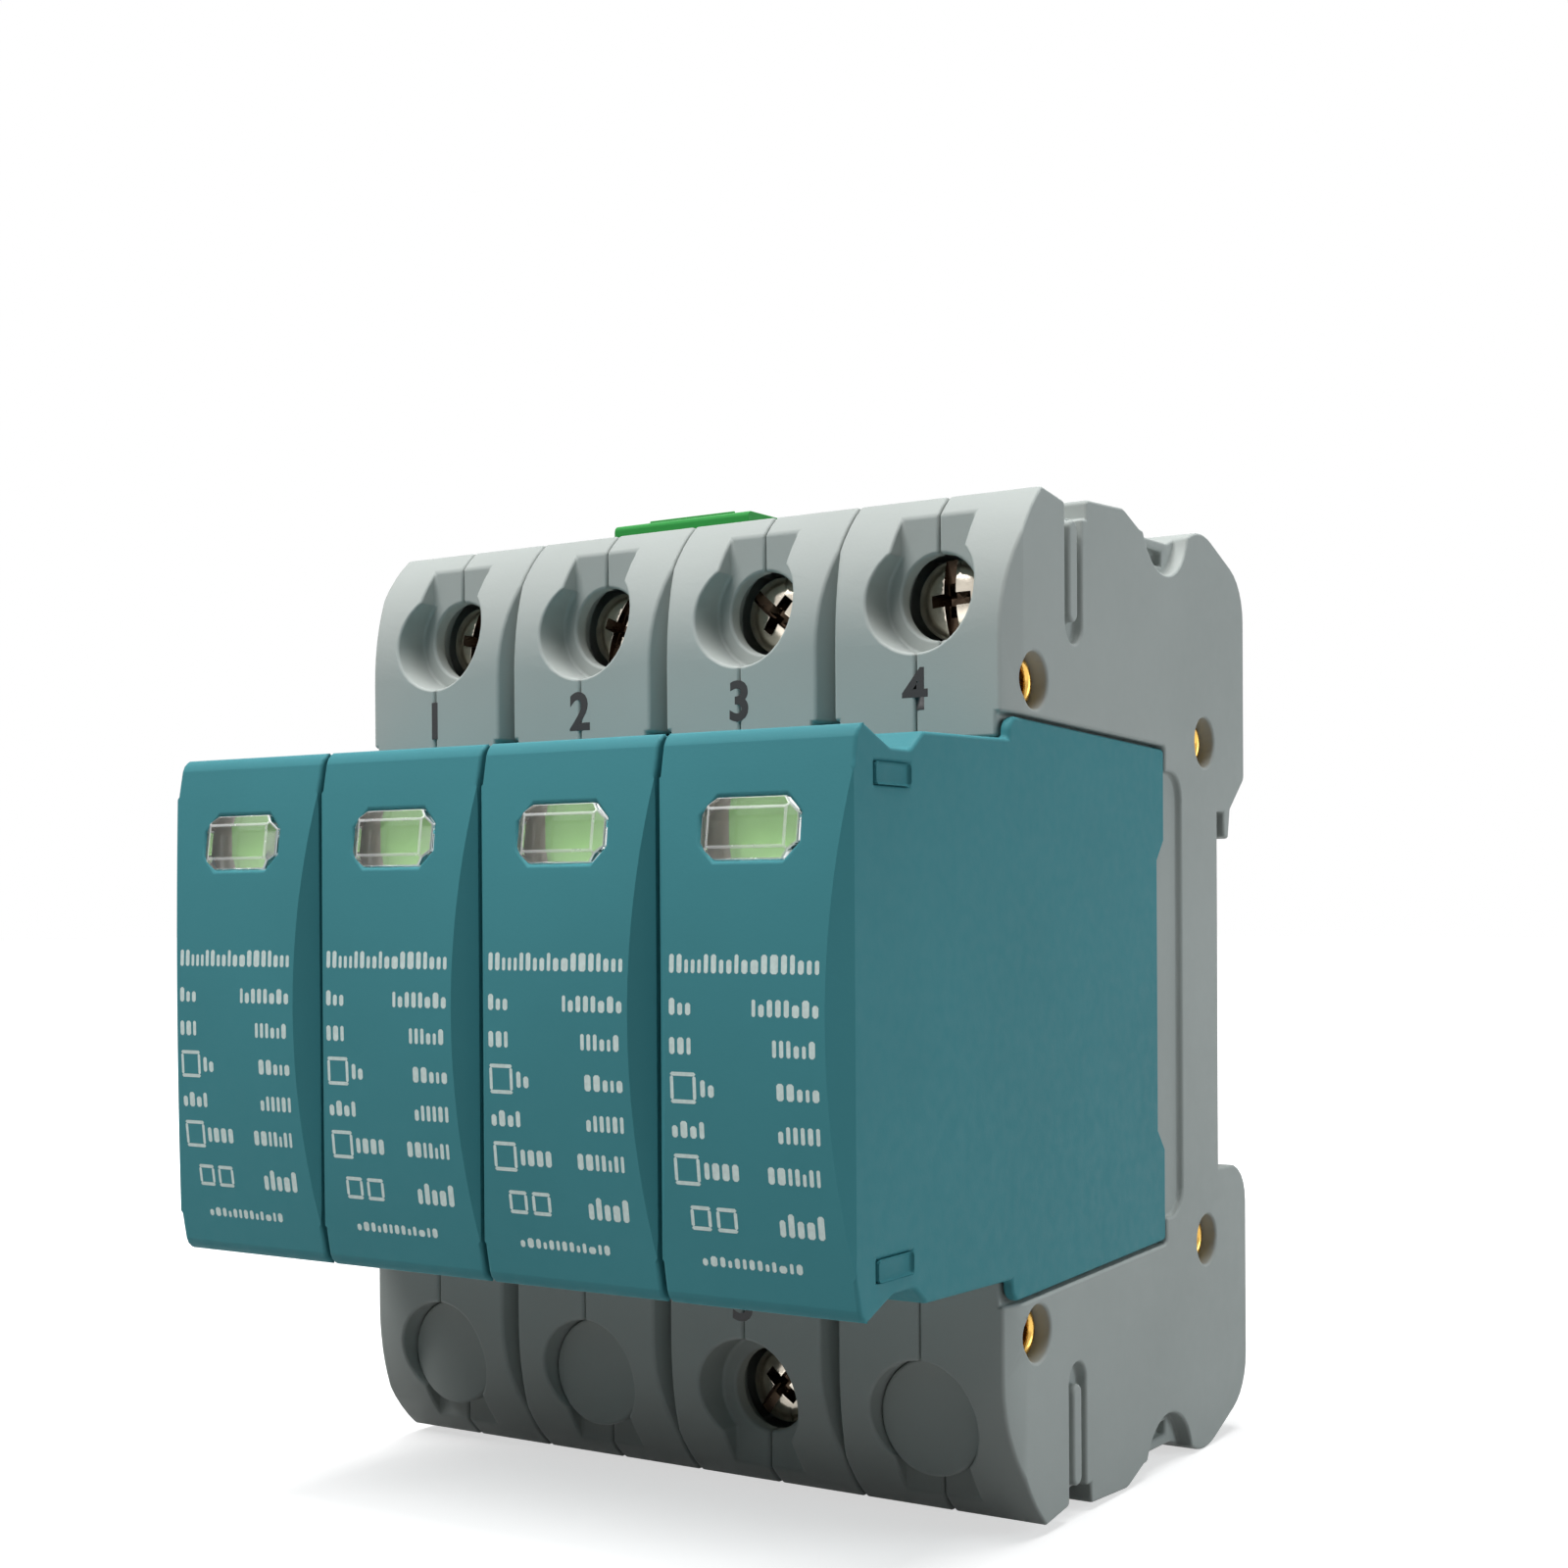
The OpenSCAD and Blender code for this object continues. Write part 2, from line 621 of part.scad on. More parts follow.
// upper half of the side view of a module, from the front lip to the back
function case_half() = concat([[y_tip_front - eps, lip_z, 0]],
    [for (p = grip) [y_tip_front + p[0], p[1], p[2]]],
    [[y_front, nose_root_z, 0], [y_floor, nose_back_z, soft / 2],
    [y_floor, pad_z + pad_run, 0], [y_floor - pad_rise, pad_z, 0]]);
function cave_half() = [[y_tip_front - eps, cave_z, 0], [y_tip_front + grip[2][0], cave_z, 0],
    [y_front, cave_root_z, 0], [y_floor + eps, cave_back_z, 0]];
function flange_pts() = [[y_front + shoulder_set, cave_z, 0], [y_front + shoulder_set, shoulder_z, shoulder_r],
    [y_floor, shoulder_back_z, soft / 2], [y_floor, cave_z, 0]];

module case_side() intersection() {
    polygon(rounded(concat(case_half(), flip(case_half()))));
    translate([front_c, 0]) circle(front_r, $fn = 360);
}
module cave_side() intersection() {
    polygon(rounded(concat(cave_half(), flip(cave_half()))));
    translate([front_c, 0]) circle(front_r - front_wall, $fn = 360);
}

// octagon with cut corners, grown by g
function octagon(g) = let (x = window_w / 2 + g, z = window_h / 2 + g, c = window_cut + g / 2)
    [[x, c - z], [x, z - c], [x - c, z], [c - x, z], [-x, z - c], [-x, c - z], [c - x, -z], [x - c, -z]];

// local frame of the window: out of the front face along -Y
module at_window() translate([0, front_c, 0]) rotate([-window_tilt, 0, 0])
    translate([0, -front_r, 0]) children();

// cuts along both front edges of a module, and the snap marks on its sides
module case_cuts() sides() {
    translate([0, 0, -lip_z]) linear_extrude(2 * lip_z) polygon([[module_x - front_bevel, y_tip_front],
        [module_x - front_bevel, y_tip_front - eps], [module_x + eps, y_tip_front - eps],
        [module_x + eps, y_tip_front + front_bevel_d], [module_x, y_tip_front + front_bevel_d]]);
    ends() box([module_x - snap_d, module_x + eps],
        [y_tip_front + snap_y[0], y_tip_front + snap_y[1]], snap_z);
}

// case of a module, with a flange along the top and bottom of each side
module module_case(i) color(teal) in_pole(i) difference() {
    union() {
        yz([-module_x, module_x]) case_side();
        sides() ends() yz([flange_x, module_x]) polygon(rounded(flange_pts()));
    }
    yz([-cave_x, cave_x]) cave_side();
    case_cuts();
    at_window() xz([-softer, front_wall + eps]) polygon(octagon(slit));
}

// plate that closes the back of a module, with slots for the blades and a hole for the signal pin
module module_back(i) color(teal) in_pole(i) difference() {
    box([-cave_x + fit, cave_x - fit], back_plate_y, [fit - cave_back_z, cave_back_z - fit]);
    ends() box([-blade_x - fit, blade_x + fit], [back_plate_y[0] - eps, back_plate_y[1] + eps],
        [blade_z - blade_t / 2 - fit, blade_z + blade_t / 2 + fit]);
    y_rod(bar_pin_r + loose, [back_plate_y[0] - eps, back_plate_y[1] + eps]);
}

// block with slanted sides, wide at y = 0 and narrower at the front of the lens
module lens_crown() intersection() {
    x = window_w / 2;
    z = window_h / 2;
    xz([-lens_proud, 0]) polygon(octagon(0));
    yz([-window_w, window_w])
        polygon([[0, -z], [0, z], [-lens_proud, z - lens_bevel], [-lens_proud, lens_bevel - z]]);
    translate([0, 0, -window_h]) linear_extrude(2 * window_h)
        polygon([[-x, 0], [x, 0], [x - lens_bevel, -lens_proud], [lens_bevel - x, -lens_proud]]);
}

// clear window, bevelled in front and with a lip behind the case wall
module module_lens(i) color(lens_tone) in_pole(i) at_window() {
    xz([0, front_wall + fit]) polygon(octagon(0));
    xz([front_wall + fit / 2, front_wall + lens_lip_t]) polygon(octagon(lens_lip));
    lens_crown();
}

// status flag, which drops when the module has tripped
module module_flag(i) color(flag_green) in_pole(i) box(flag_x, flag_y, flag_z);

// inner frame: a plate beside the varistor and the red wall behind the flag
module module_carrier(i) color(signal_red) in_pole(i) {
    box([-carrier_x, carrier_x], carrier_y, carrier_z);
    box([-carrier_x, carrier_t - carrier_x], [carrier_y[0], varistor_y[1]],
        [-carrier_side_z, carrier_side_z]);
}

// varistor block standing against the plate of the carrier
module module_varistor(i) color(varistor_blue) in_pole(i) {
    s = varistor_s / 2;
    yz([carrier_t - carrier_x, carrier_t - carrier_x + varistor_t])
        polygon(rounded([[varistor_y[0], s, varistor_r], [varistor_y[1], s, varistor_r],
            [varistor_y[1], -s, varistor_r], [varistor_y[0], -s, varistor_r]]));
}

// two blades, each with a strap to an electrode of the varistor
module module_blades(i) color(copper) in_pole(i) ends() {
    box([-blade_x, blade_x], [varistor_y[1], blade_y], [blade_z - blade_t / 2, blade_z + blade_t / 2]);
    box([-strap_x, strap_x], [varistor_y[1], varistor_y[1] + strap_t], [strap_z, blade_z]);
}

// one node to draw, or all

half_shell(0, -1);  // pole_1_left_shell
half_shell(0, 1);  // pole_1_right_shell
half_shell(1, -1);  // pole_2_left_shell
half_shell(1, 1);  // pole_2_right_shell
half_shell(2, -1);  // pole_3_left_shell
half_shell(2, 1);  // pole_3_right_shell
half_shell(3, -1);  // pole_4_left_shell
half_shell(3, 1);  // pole_4_right_shell
tubular_rivets();
line_screw(0);  // line_screw_1
line_screw(1);  // line_screw_2
line_screw(2);  // line_screw_3
line_screw(3);  // line_screw_4
pe_screw();
line_clamp(0);  // line_clamp_1
line_clamp(1);  // line_clamp_2
line_clamp(2);  // line_clamp_3
line_clamp(3);  // line_clamp_4
pe_clamp();
line_contact(0);  // line_contact_1
line_contact(1);  // line_contact_2
line_contact(2);  // line_contact_3
line_contact(3);  // line_contact_4
pe_busbar();
blanking_discs();
din_latch();
signal_header();
signal_plug();
signal_screws();
signal_bar();
microswitch();
module_case(0);  // module_1_case
module_back(0);  // module_1_back
module_lens(0);  // module_1_lens
module_flag(0);  // module_1_flag
module_carrier(0);  // module_1_carrier
module_varistor(0);  // module_1_varistor
module_blades(0);  // module_1_blades
module_case(1);  // module_2_case
module_back(1);  // module_2_back
module_lens(1);  // module_2_lens
module_flag(1);  // module_2_flag
module_carrier(1);  // module_2_carrier
module_varistor(1);  // module_2_varistor
module_blades(1);  // module_2_blades
module_case(2);  // module_3_case
module_back(2);  // module_3_back
module_lens(2);  // module_3_lens
module_flag(2);  // module_3_flag
module_carrier(2);  // module_3_carrier
module_varistor(2);  // module_3_varistor
module_blades(2);  // module_3_blades
module_case(3);  // module_4_case
module_back(3);  // module_4_back
module_lens(3);  // module_4_lens
module_flag(3);  // module_4_flag
module_carrier(3);  // module_4_carrier
module_varistor(3);  // module_4_varistor
module_blades(3);  // module_4_blades
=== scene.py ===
"""Looks of a plug-in surge arrester: rounded mouldings, finishes, print, screws, light and camera.

Lengths are in metres. The screws, the numerals and the print are drawn in millimetres and scaled
down where they are placed.
"""
import json
import math
import random

import bmesh
import bpy
from mathutils import Matrix, Vector
from mathutils.bvhtree import BVHTree
from mathutils.geometry import area_tri, delaunay_2d_cdt


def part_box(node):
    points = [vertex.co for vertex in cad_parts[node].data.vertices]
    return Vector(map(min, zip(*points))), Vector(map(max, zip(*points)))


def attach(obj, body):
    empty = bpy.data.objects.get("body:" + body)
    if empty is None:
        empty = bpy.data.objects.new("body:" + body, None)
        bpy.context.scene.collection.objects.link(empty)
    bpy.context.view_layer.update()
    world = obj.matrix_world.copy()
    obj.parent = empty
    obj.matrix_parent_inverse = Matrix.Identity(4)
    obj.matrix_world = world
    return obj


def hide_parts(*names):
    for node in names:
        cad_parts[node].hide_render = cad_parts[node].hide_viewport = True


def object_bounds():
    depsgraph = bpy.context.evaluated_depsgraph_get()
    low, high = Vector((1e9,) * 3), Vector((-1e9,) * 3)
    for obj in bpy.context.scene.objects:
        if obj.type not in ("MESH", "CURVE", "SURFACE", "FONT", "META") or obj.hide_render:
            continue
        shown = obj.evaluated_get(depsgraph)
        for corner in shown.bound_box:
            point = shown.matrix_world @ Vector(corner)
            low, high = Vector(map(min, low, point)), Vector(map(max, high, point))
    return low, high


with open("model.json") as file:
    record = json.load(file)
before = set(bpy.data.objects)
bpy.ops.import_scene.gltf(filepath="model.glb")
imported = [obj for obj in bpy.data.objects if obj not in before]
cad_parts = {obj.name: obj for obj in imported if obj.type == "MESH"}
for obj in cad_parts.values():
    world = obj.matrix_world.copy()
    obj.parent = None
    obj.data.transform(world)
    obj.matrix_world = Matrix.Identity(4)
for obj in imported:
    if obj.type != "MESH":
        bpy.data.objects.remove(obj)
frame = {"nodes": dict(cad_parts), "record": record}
cad_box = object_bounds()

MM = 0.001
POLES = (1, 2, 3, 4)
scene = bpy.context.scene
nodes = frame["nodes"]
record = frame["record"]
slot_of = {part["node"]: part["material_slot"] for part in record["subparts"]}
body_of = {node: body for body, members in record["behaviour"]["bodies"].items() for node in members}


# places read from the frame are rounded to a micrometre
PLACE_DIGITS = 6


def middle(node):
    """X and Z of the middle of a node's box."""
    low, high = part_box(node)
    return [round((low[axis] + high[axis]) / 2, PLACE_DIGITS) for axis in (0, 2)]


def pole_x(pole):
    """Middle of a pole along the rail."""
    return middle(f"module_{pole}_case")[0]


# Shader nodes

# a noise value stays mostly between these two
NOISE_LOW = 0.3
NOISE_HIGH = 0.7


def srgb(red, green, blue):
    """Linear colour of an 8 bit screen colour."""
    def linear(level):
        level = level / 255
        return level / 12.92 if level <= 0.04045 else ((level + 0.055) / 1.055) ** 2.4
    return (linear(red), linear(green), linear(blue), 1.0)


def shade(colour, factor):
    return tuple(min(1.0, channel * factor) for channel in colour[:3]) + (1.0,)


def new_material(name):
    material = bpy.data.materials.new(name)
    material.use_nodes = True
    tree = material.node_tree
    return material, tree, tree.nodes["Principled BSDF"]


def add(tree, kind, **values):
    """A node of that kind, with its inputs set by name."""
    node = tree.nodes.new(kind)
    for key, value in values.items():
        node.inputs[key.replace("_", " ")].default_value = value
    return node


def combine(tree, operation, first, second):
    """A math node on two values."""
    node = tree.nodes.new("ShaderNodeMath")
    node.operation = operation
    tree.links.new(first, node.inputs[0])
    tree.links.new(second, node.inputs[1])
    return node.outputs["Value"]


def object_coord(tree):
    return tree.nodes.new("ShaderNodeTexCoord").outputs["Object"]


def noise(tree, coord, settings):
    scale, detail, rough = settings
    node = add(tree, "ShaderNodeTexNoise", Scale=scale, Detail=detail, Roughness=rough)
    tree.links.new(coord, node.inputs["Vector"])
    return node.outputs["Fac"]


def spread(tree, value, low, high):
    """Maps a noise value to a range."""
    node = add(tree, "ShaderNodeMapRange", From_Min=NOISE_LOW, From_Max=NOISE_HIGH, To_Min=low, To_Max=high)
    tree.links.new(value, node.inputs["Value"])
    return node.outputs["Result"]


def tint(tree, value, low, high):
    """A colour between two colours, by a noise value."""
    ramp = tree.nodes.new("ShaderNodeValToRGB")
    first, last = ramp.color_ramp.elements[0], ramp.color_ramp.elements[1]
    first.position = NOISE_LOW
    first.color = low
    last.position = NOISE_HIGH
    last.color = high
    tree.links.new(value, ramp.inputs["Fac"])
    return ramp.outputs["Color"]


def bump(tree, height, depth):
    node = add(tree, "ShaderNodeBump", Strength=1.0, Distance=depth)
    tree.links.new(height, node.inputs["Height"])
    return node.outputs["Normal"]


# Finishes

# settings of each noise: repeats per metre, octaves of detail, roughness
FLOW_NOISE = (45.0, 3.0, 0.5)
SHEEN_NOISE = (900.0, 2.0, 0.5)
GRAIN_NOISE = (3200.0, 3.0, 0.65)
CLOUD_NOISE = (700.0, 3.0, 0.5)
WEAR_NOISE = (1500.0, 4.0, 0.5)
SCRATCH_NOISE = (6000.0, 3.0, 0.5)
HAZE_NOISE = (1200.0, 2.0, 0.5)
COVER_NOISE = (2500.0, 3.0, 0.5)

# darkest and lightest share of a colour
FLOW_SHADES = (0.96, 1.04)
CLOUD_SHADES = (0.8, 1.06)
COVER_SHADES = (0.85, 1.0)

# least and most of a roughness, as a step from it or as a share of it
SHEEN_STEP = 0.06
WEAR_SHARES = (0.7, 1.4)
HAZE_SHARES = (0.5, 1.5)

GRAIN_DEPTH = 0.010 * MM
SCRATCH_DEPTH = 0.003 * MM
MOULD_SHINE = 0.1
INK_ROUGHNESS = 0.55
CLEAR_COLOUR = (0.96, 0.98, 0.97, 1.0)
CLEAR_IOR = 1.49


def uneven_colour(tree, coord, settings, colour, shades):
    """A colour that varies between two shades of it."""
    low, high = (shade(colour, factor) for factor in shades)
    return tint(tree, noise(tree, coord, settings), low, high)


def moulded(name, colour, rough):
    """Moulded plastic: a spark eroded grain, slight flow marks in colour and gloss."""
    material, tree, shader = new_material(name)
    coord = object_coord(tree)
    flow = uneven_colour(tree, coord, FLOW_NOISE, colour, FLOW_SHADES)
    tree.links.new(flow, shader.inputs["Base Color"])
    sheen = spread(tree, noise(tree, coord, SHEEN_NOISE), rough - SHEEN_STEP, rough + SHEEN_STEP)
    tree.links.new(sheen, shader.inputs["Roughness"])
    tree.links.new(bump(tree, noise(tree, coord, GRAIN_NOISE), GRAIN_DEPTH), shader.inputs["Normal"])
    shader.inputs["Specular IOR Level"].default_value = MOULD_SHINE
    return material


def metal(name, colour, rough):
    """Plated or drawn metal with fine marks and slightly uneven gloss."""
    material, tree, shader = new_material(name)
    coord = object_coord(tree)
    shader.inputs["Metallic"].default_value = 1.0
    cloud = uneven_colour(tree, coord, CLOUD_NOISE, colour, CLOUD_SHADES)
    tree.links.new(cloud, shader.inputs["Base Color"])
    wear = spread(tree, noise(tree, coord, WEAR_NOISE), *(rough * share for share in WEAR_SHARES))
    tree.links.new(wear, shader.inputs["Roughness"])
    tree.links.new(bump(tree, noise(tree, coord, SCRATCH_NOISE), SCRATCH_DEPTH), shader.inputs["Normal"])
    return material


def clear_plastic(name, clarity, rough):
    """Clear moulded plastic; a lower clarity makes it milky, which on the lens edges paints pale highlight
    lines.
    """
    material, tree, shader = new_material(name)
    shader.inputs["Base Color"].default_value = CLEAR_COLOUR
    shader.inputs["Transmission Weight"].default_value = clarity
    shader.inputs["IOR"].default_value = CLEAR_IOR
    coord = object_coord(tree)
    haze = spread(tree, noise(tree, coord, HAZE_NOISE), *(rough * share for share in HAZE_SHARES))
    tree.links.new(haze, shader.inputs["Roughness"])
    return material


def ink(name, colour):
    """Pad printed ink, slightly uneven."""
    material, tree, shader = new_material(name)
    cover = uneven_colour(tree, object_coord(tree), COVER_NOISE, colour, COVER_SHADES)
    tree.links.new(cover, shader.inputs["Base Color"])
    shader.inputs["Roughness"].default_value = INK_ROUGHNESS
    return material


# finish of each material slot of the record: its name, its colour and its roughness
finishes = {
    "base_plastic": moulded("grey_moulding", srgb(172, 178, 175), 0.54),
    "module_plastic": moulded("teal_moulding", srgb(68, 135, 143), 0.54),
    "clear_lens": clear_plastic("clear_lens", clarity=1.0, rough=0.04),
    "flag_green": moulded("flag_green", srgb(158, 206, 130), 0.5),
    "carrier_red": moulded("carrier_tan", srgb(222, 206, 186), 0.5),
    "varistor": moulded("varistor_coat", srgb(40, 90, 150), 0.4),
    "contact_metal": metal("copper_alloy", srgb(214, 160, 125), 0.3),
    "plated_steel": metal("nickel_plate", srgb(212, 203, 188), 0.14),
    "rivet_brass": metal("drawn_brass", srgb(222, 176, 92), 0.25),
    "plug_green": moulded("plug_green", srgb(52, 144, 68), 0.35),
    "dark_plastic": moulded("dark_moulding", srgb(40, 41, 43), 0.45),
}
# milky material on the rounded lens edges: painted highlight lines along the rims
milky_rim_highlight = clear_plastic("milky_rim_highlight", clarity=0.6, rough=0.2)
# darker metal on the faces inside the cross and slot of each screw: painted shade in the recess
painted_recess_shade = metal("painted_recess_shade", srgb(84, 70, 58), 0.3)
trip_red = ink("trip_red", srgb(188, 44, 40))
print_pale = ink("print_pale", srgb(214, 232, 228))
print_black = ink("print_black", srgb(28, 28, 30))

for node, piece in nodes.items():
    piece.data.materials.clear()
    piece.data.materials.append(finishes[slot_of[node]])

# Pieces and round shapes

SMOOTH_ANGLE = math.radians(38)
SAME_MATERIAL = -1
SECOND_MATERIAL = 1
COLUMNS = 40
SQUARE = ((-1, -1), (1, -1), (1, 1), (-1, 1))


def add_object(name, data):
    made = bpy.data.objects.new(name, data)
    scene.collection.objects.link(made)
    return made


def place(name, mesh, materials, body):
    """Puts a new mesh on a body."""
    piece = add_object(name, mesh)
    for material in materials:
        mesh.materials.append(material)
    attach(piece, body)
    return piece


def mesh_of(name, bm):
    mesh = bpy.data.meshes.new(name)
    bm.to_mesh(mesh)
    bm.free()
    return mesh


def even_shading(piece):
    """Smooth shading over the rounded edges, with the flat faces left flat."""
    bm = bmesh.new()
    bm.from_mesh(piece.data)
    for face in bm.faces:
        face.smooth = True
    for edge in bm.edges:
        edge.smooth = edge.is_manifold and edge.calc_face_angle() < SMOOTH_ANGLE
    bm.to_mesh(piece.data)
    bm.free()
    weigh = piece.modifiers.new("even_shading", "WEIGHTED_NORMAL")
    weigh.keep_sharp = True


def ring(bm, depth, radius):
    """A ring of vertices about the Y axis."""
    turns = [2 * math.pi * column / COLUMNS for column in range(COLUMNS)]
    return [bm.verts.new((radius * math.cos(turn), depth, radius * math.sin(turn))) for turn in turns]


def join_rings(bm, first, second):
    for here in range(len(first)):
        after = (here + 1) % len(first)
        bm.faces.new((first[here], first[after], second[after], second[here]))


def rod_mesh(radius, front, rear):
    """A closed cylinder along Y."""
    bm = bmesh.new()
    first, second = ring(bm, front, radius), ring(bm, rear, radius)
    join_rings(bm, first, second)
    bm.faces.new(first)
    bm.faces.new(list(reversed(second)))
    bmesh.ops.recalc_face_normals(bm, faces=bm.faces)
    return mesh_of("cut_rod", bm)


# Cuts and rounded edges

CUT_EDGE_SEGMENTS = 2
CUT_EDGE_ANGLE = math.radians(35)
EDGE_SEGMENTS = 3
ROUND_PROFILE = 0.5
FLAT_ANGLE = math.radians(0.5)
WELD = 1e-7
# an outline crosses itself where its triangles cover more than this many times its area plus this much
OVERLAP_SHARE = 1.001
OVERLAP_LEAST = 1e-8
FILL_INSIDE = 1


def cut_away(mesh, cutters, soften=0.0):
    """The mesh without the space of the cutters, which are pairs of a mesh and its place."""
    whole = add_object("cut_body", mesh)
    tools = [whole]
    for cutter, where in cutters:
        tool = add_object("cut_tool", cutter)
        tool.matrix_world = where
        tools.append(tool)
        step = whole.modifiers.new("cut", "BOOLEAN")
        step.operation = "DIFFERENCE"
        step.solver = "EXACT"
        step.object = tool
    if soften:
        edge = whole.modifiers.new("soften", "BEVEL")
        edge.width = soften
        edge.segments = CUT_EDGE_SEGMENTS
        edge.limit_method = "ANGLE"
        edge.angle_limit = CUT_EDGE_ANGLE
    graph = bpy.context.evaluated_depsgraph_get()
    result = bpy.data.meshes.new_from_object(whole.evaluated_get(graph))
    for tool in tools:
        bpy.data.objects.remove(tool)
    return result


def bevel(bm, edges, radius, material=SAME_MATERIAL):
    bmesh.ops.bevel(bm, geom=edges, offset=radius, offset_type="OFFSET", segments=EDGE_SEGMENTS,
                    profile=ROUND_PROFILE, affect="EDGES", clamp_overlap=False, loop_slide=True,
                    material=material)


def sharp_edges(bm, least_angle):
    least = math.radians(least_angle)
    return [edge for edge in bm.edges if edge.is_manifold and edge.calc_face_angle() > least]


def edges_along_x(bm, least_angle, least_length):
    """The sharp edges that run at least that far along X."""
    return [edge for edge in sharp_edges(bm, least_angle)
            if abs(edge.verts[0].co.x - edge.verts[1].co.x) > least_length]


def crossed_faces(bm):
    """Faces with five or more corners whose outline crosses itself."""
    filled = {}
    for loops in bm.calc_loop_triangles():
        face = loops[0].face
        filled[face] = filled.get(face, 0.0) + area_tri(*(loop.vert.co for loop in loops))
    return [face for face, area in filled.items()
            if len(face.verts) > 4 and area > face.calc_area() * OVERLAP_SHARE + OVERLAP_LEAST]


def fill_anew(bm, face):
    """Puts flat triangles that don't overlap in the place of a crossed face."""
    origin, normal = face.verts[0].co.copy(), face.normal.copy()
    across = normal.orthogonal().normalized()
    along = normal.cross(across)
    corners = list(face.verts)
    offsets = [corner.co - origin for corner in corners]
    flat = [Vector((offset.dot(across), offset.dot(along))) / MM for offset in offsets]
    outline = [list(range(len(flat)))]
    points, _, triangles, sources, _, _ = delaunay_2d_cdt(flat, [], outline, FILL_INSIDE, WELD / MM)
    verts = []
    for point, source in zip(points, sources):
        spot = origin + (across * point.x + along * point.y) * MM
        verts.append(corners[source[0]] if source else bm.verts.new(spot))
    bm.faces.remove(face)
    for triangle in triangles:
        chosen = [verts[index] for index in triangle]
        if not bm.faces.get(chosen):
            bm.faces.new(chosen)


# Mouldings: least angles of the edges that are rounded, in degrees, and the radii

SHELL_LEAST_ANGLE = 28
SHELL_EDGE = 0.3 * MM
CASE_LEAST_ANGLE = 50
CASE_EDGE = 0.35 * MM
LENS_LEAST_ANGLE = 20
LENS_EDGE = 0.13 * MM
PLUG_EDGE = 0.12 * MM

# the upper and lower front lip of a module: radius, least length, least height from the middle
LIP_EDGE = 1.0 * MM
LIP_LENGTH = 9.0 * MM
LIP_HEIGHT = 18.0 * MM

# the upper front edge of the signal plug
PLUG_FRONT_ANGLE = 60
PLUG_FRONT_EDGE = 0.6 * MM
PLUG_FRONT_LENGTH = 8.0 * MM

# room around the head of a terminal screw, behind the front wall
HEAD_ROOM_R = 4.7 * MM
HEAD_ROOM_FRONT = -39.4 * MM
HEAD_ROOM_REAR = -37.4 * MM
# a screw this near the middle of a pole is in that pole
SAME_POLE = 1.0 * MM

# how far the cross of each terminal screw is turned, in degrees
SCREW_TURNS = {
    "line_screw_1": -11,
    "line_screw_2": -24,
    "line_screw_3": 52,
    "line_screw_4": 3,
    "pe_screw": -40,
}


def round_edges(node, radius, least_angle=SHELL_LEAST_ANGLE, cutters=(), first=None, rim=None):
    """A copy of a moulding with the small edge radius that every moulded edge has.

    The function first may round some edges before; rim is a material for the rounded edges, which on the
    lenses paints pale highlight lines.
    """
    bm = bmesh.new()
    bm.from_mesh(nodes[node].data)
    bmesh.ops.remove_doubles(bm, verts=bm.verts, dist=WELD)
    bmesh.ops.dissolve_limit(bm, angle_limit=FLAT_ANGLE, verts=bm.verts, edges=bm.edges)
    if cutters:
        cut = cut_away(mesh_of("uncut", bm), cutters)
        bm = bmesh.new()
        bm.from_mesh(cut)
    if first:
        first(bm)
    bevel(bm, sharp_edges(bm, least_angle), radius, SECOND_MATERIAL if rim else SAME_MATERIAL)
    for face in crossed_faces(bm):
        fill_anew(bm, face)
    name = f"{node}_moulding"
    materials = [finishes[slot_of[node]]] + ([rim] if rim else [])
    piece = place(name, mesh_of(name, bm), materials, body_of[node])
    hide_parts(node)
    even_shading(piece)
    return piece


def head_rooms(pole):
    """Cutters for the room around the screw heads of a pole."""
    room = rod_mesh(HEAD_ROOM_R, HEAD_ROOM_FRONT, HEAD_ROOM_REAR)
    axes = [middle(screw) for screw in SCREW_TURNS]
    return [(room, Matrix.Translation((x, 0, z))) for x, z in axes if abs(x - pole_x(pole)) < SAME_POLE]


def round_lips(bm):
    """The larger radius along the upper and lower front edge of a module."""
    across = edges_along_x(bm, CASE_LEAST_ANGLE, LIP_LENGTH)
    halves = [[edge for edge in across if edge.verts[0].co.z * side > LIP_HEIGHT] for side in (1, -1)]
    bevel(bm, [min(half, key=lambda edge: edge.verts[0].co.y) for half in halves], LIP_EDGE)


def round_plug_front(bm):
    """The larger radius along the upper front edge of the signal plug."""
    across = edges_along_x(bm, PLUG_FRONT_ANGLE, PLUG_FRONT_LENGTH)
    bevel(bm, [max(across, key=lambda edge: edge.verts[0].co.z - edge.verts[0].co.y)], PLUG_FRONT_EDGE)


for pole in POLES:
    round_edges(f"pole_{pole}_left_shell", SHELL_EDGE, cutters=head_rooms(pole))
    round_edges(f"pole_{pole}_right_shell", SHELL_EDGE, cutters=head_rooms(pole))
    round_edges(f"module_{pole}_case", CASE_EDGE, CASE_LEAST_ANGLE, first=round_lips)
    # the milky rim material paints highlight lines along the lens edges
    lens = round_edges(f"module_{pole}_lens", LENS_EDGE, LENS_LEAST_ANGLE, rim=milky_rim_highlight)
    lens.visible_shadow = False
round_edges("blanking_discs", SHELL_EDGE)
round_edges("signal_plug", PLUG_EDGE, first=round_plug_front)
round_edges("din_latch", SHELL_EDGE)

# Terminal screws: domed heads with a slot and a cross, and a cut thread, in millimetres

DOME_R = 8.0
DOME_RIM = 3.45
DOME_STEPS = 12
HEAD_R = 3.6
HEAD_T = 2.7
# depth behind the rim of the dome, and radius, half way round the front edge of the head
SHOULDER_DEPTH = 0.12
SHOULDER_R = 3.54
SHOULDER_END = 0.32
REAR_EDGE_DEPTH = 0.2
REAR_EDGE_INSET = 0.15
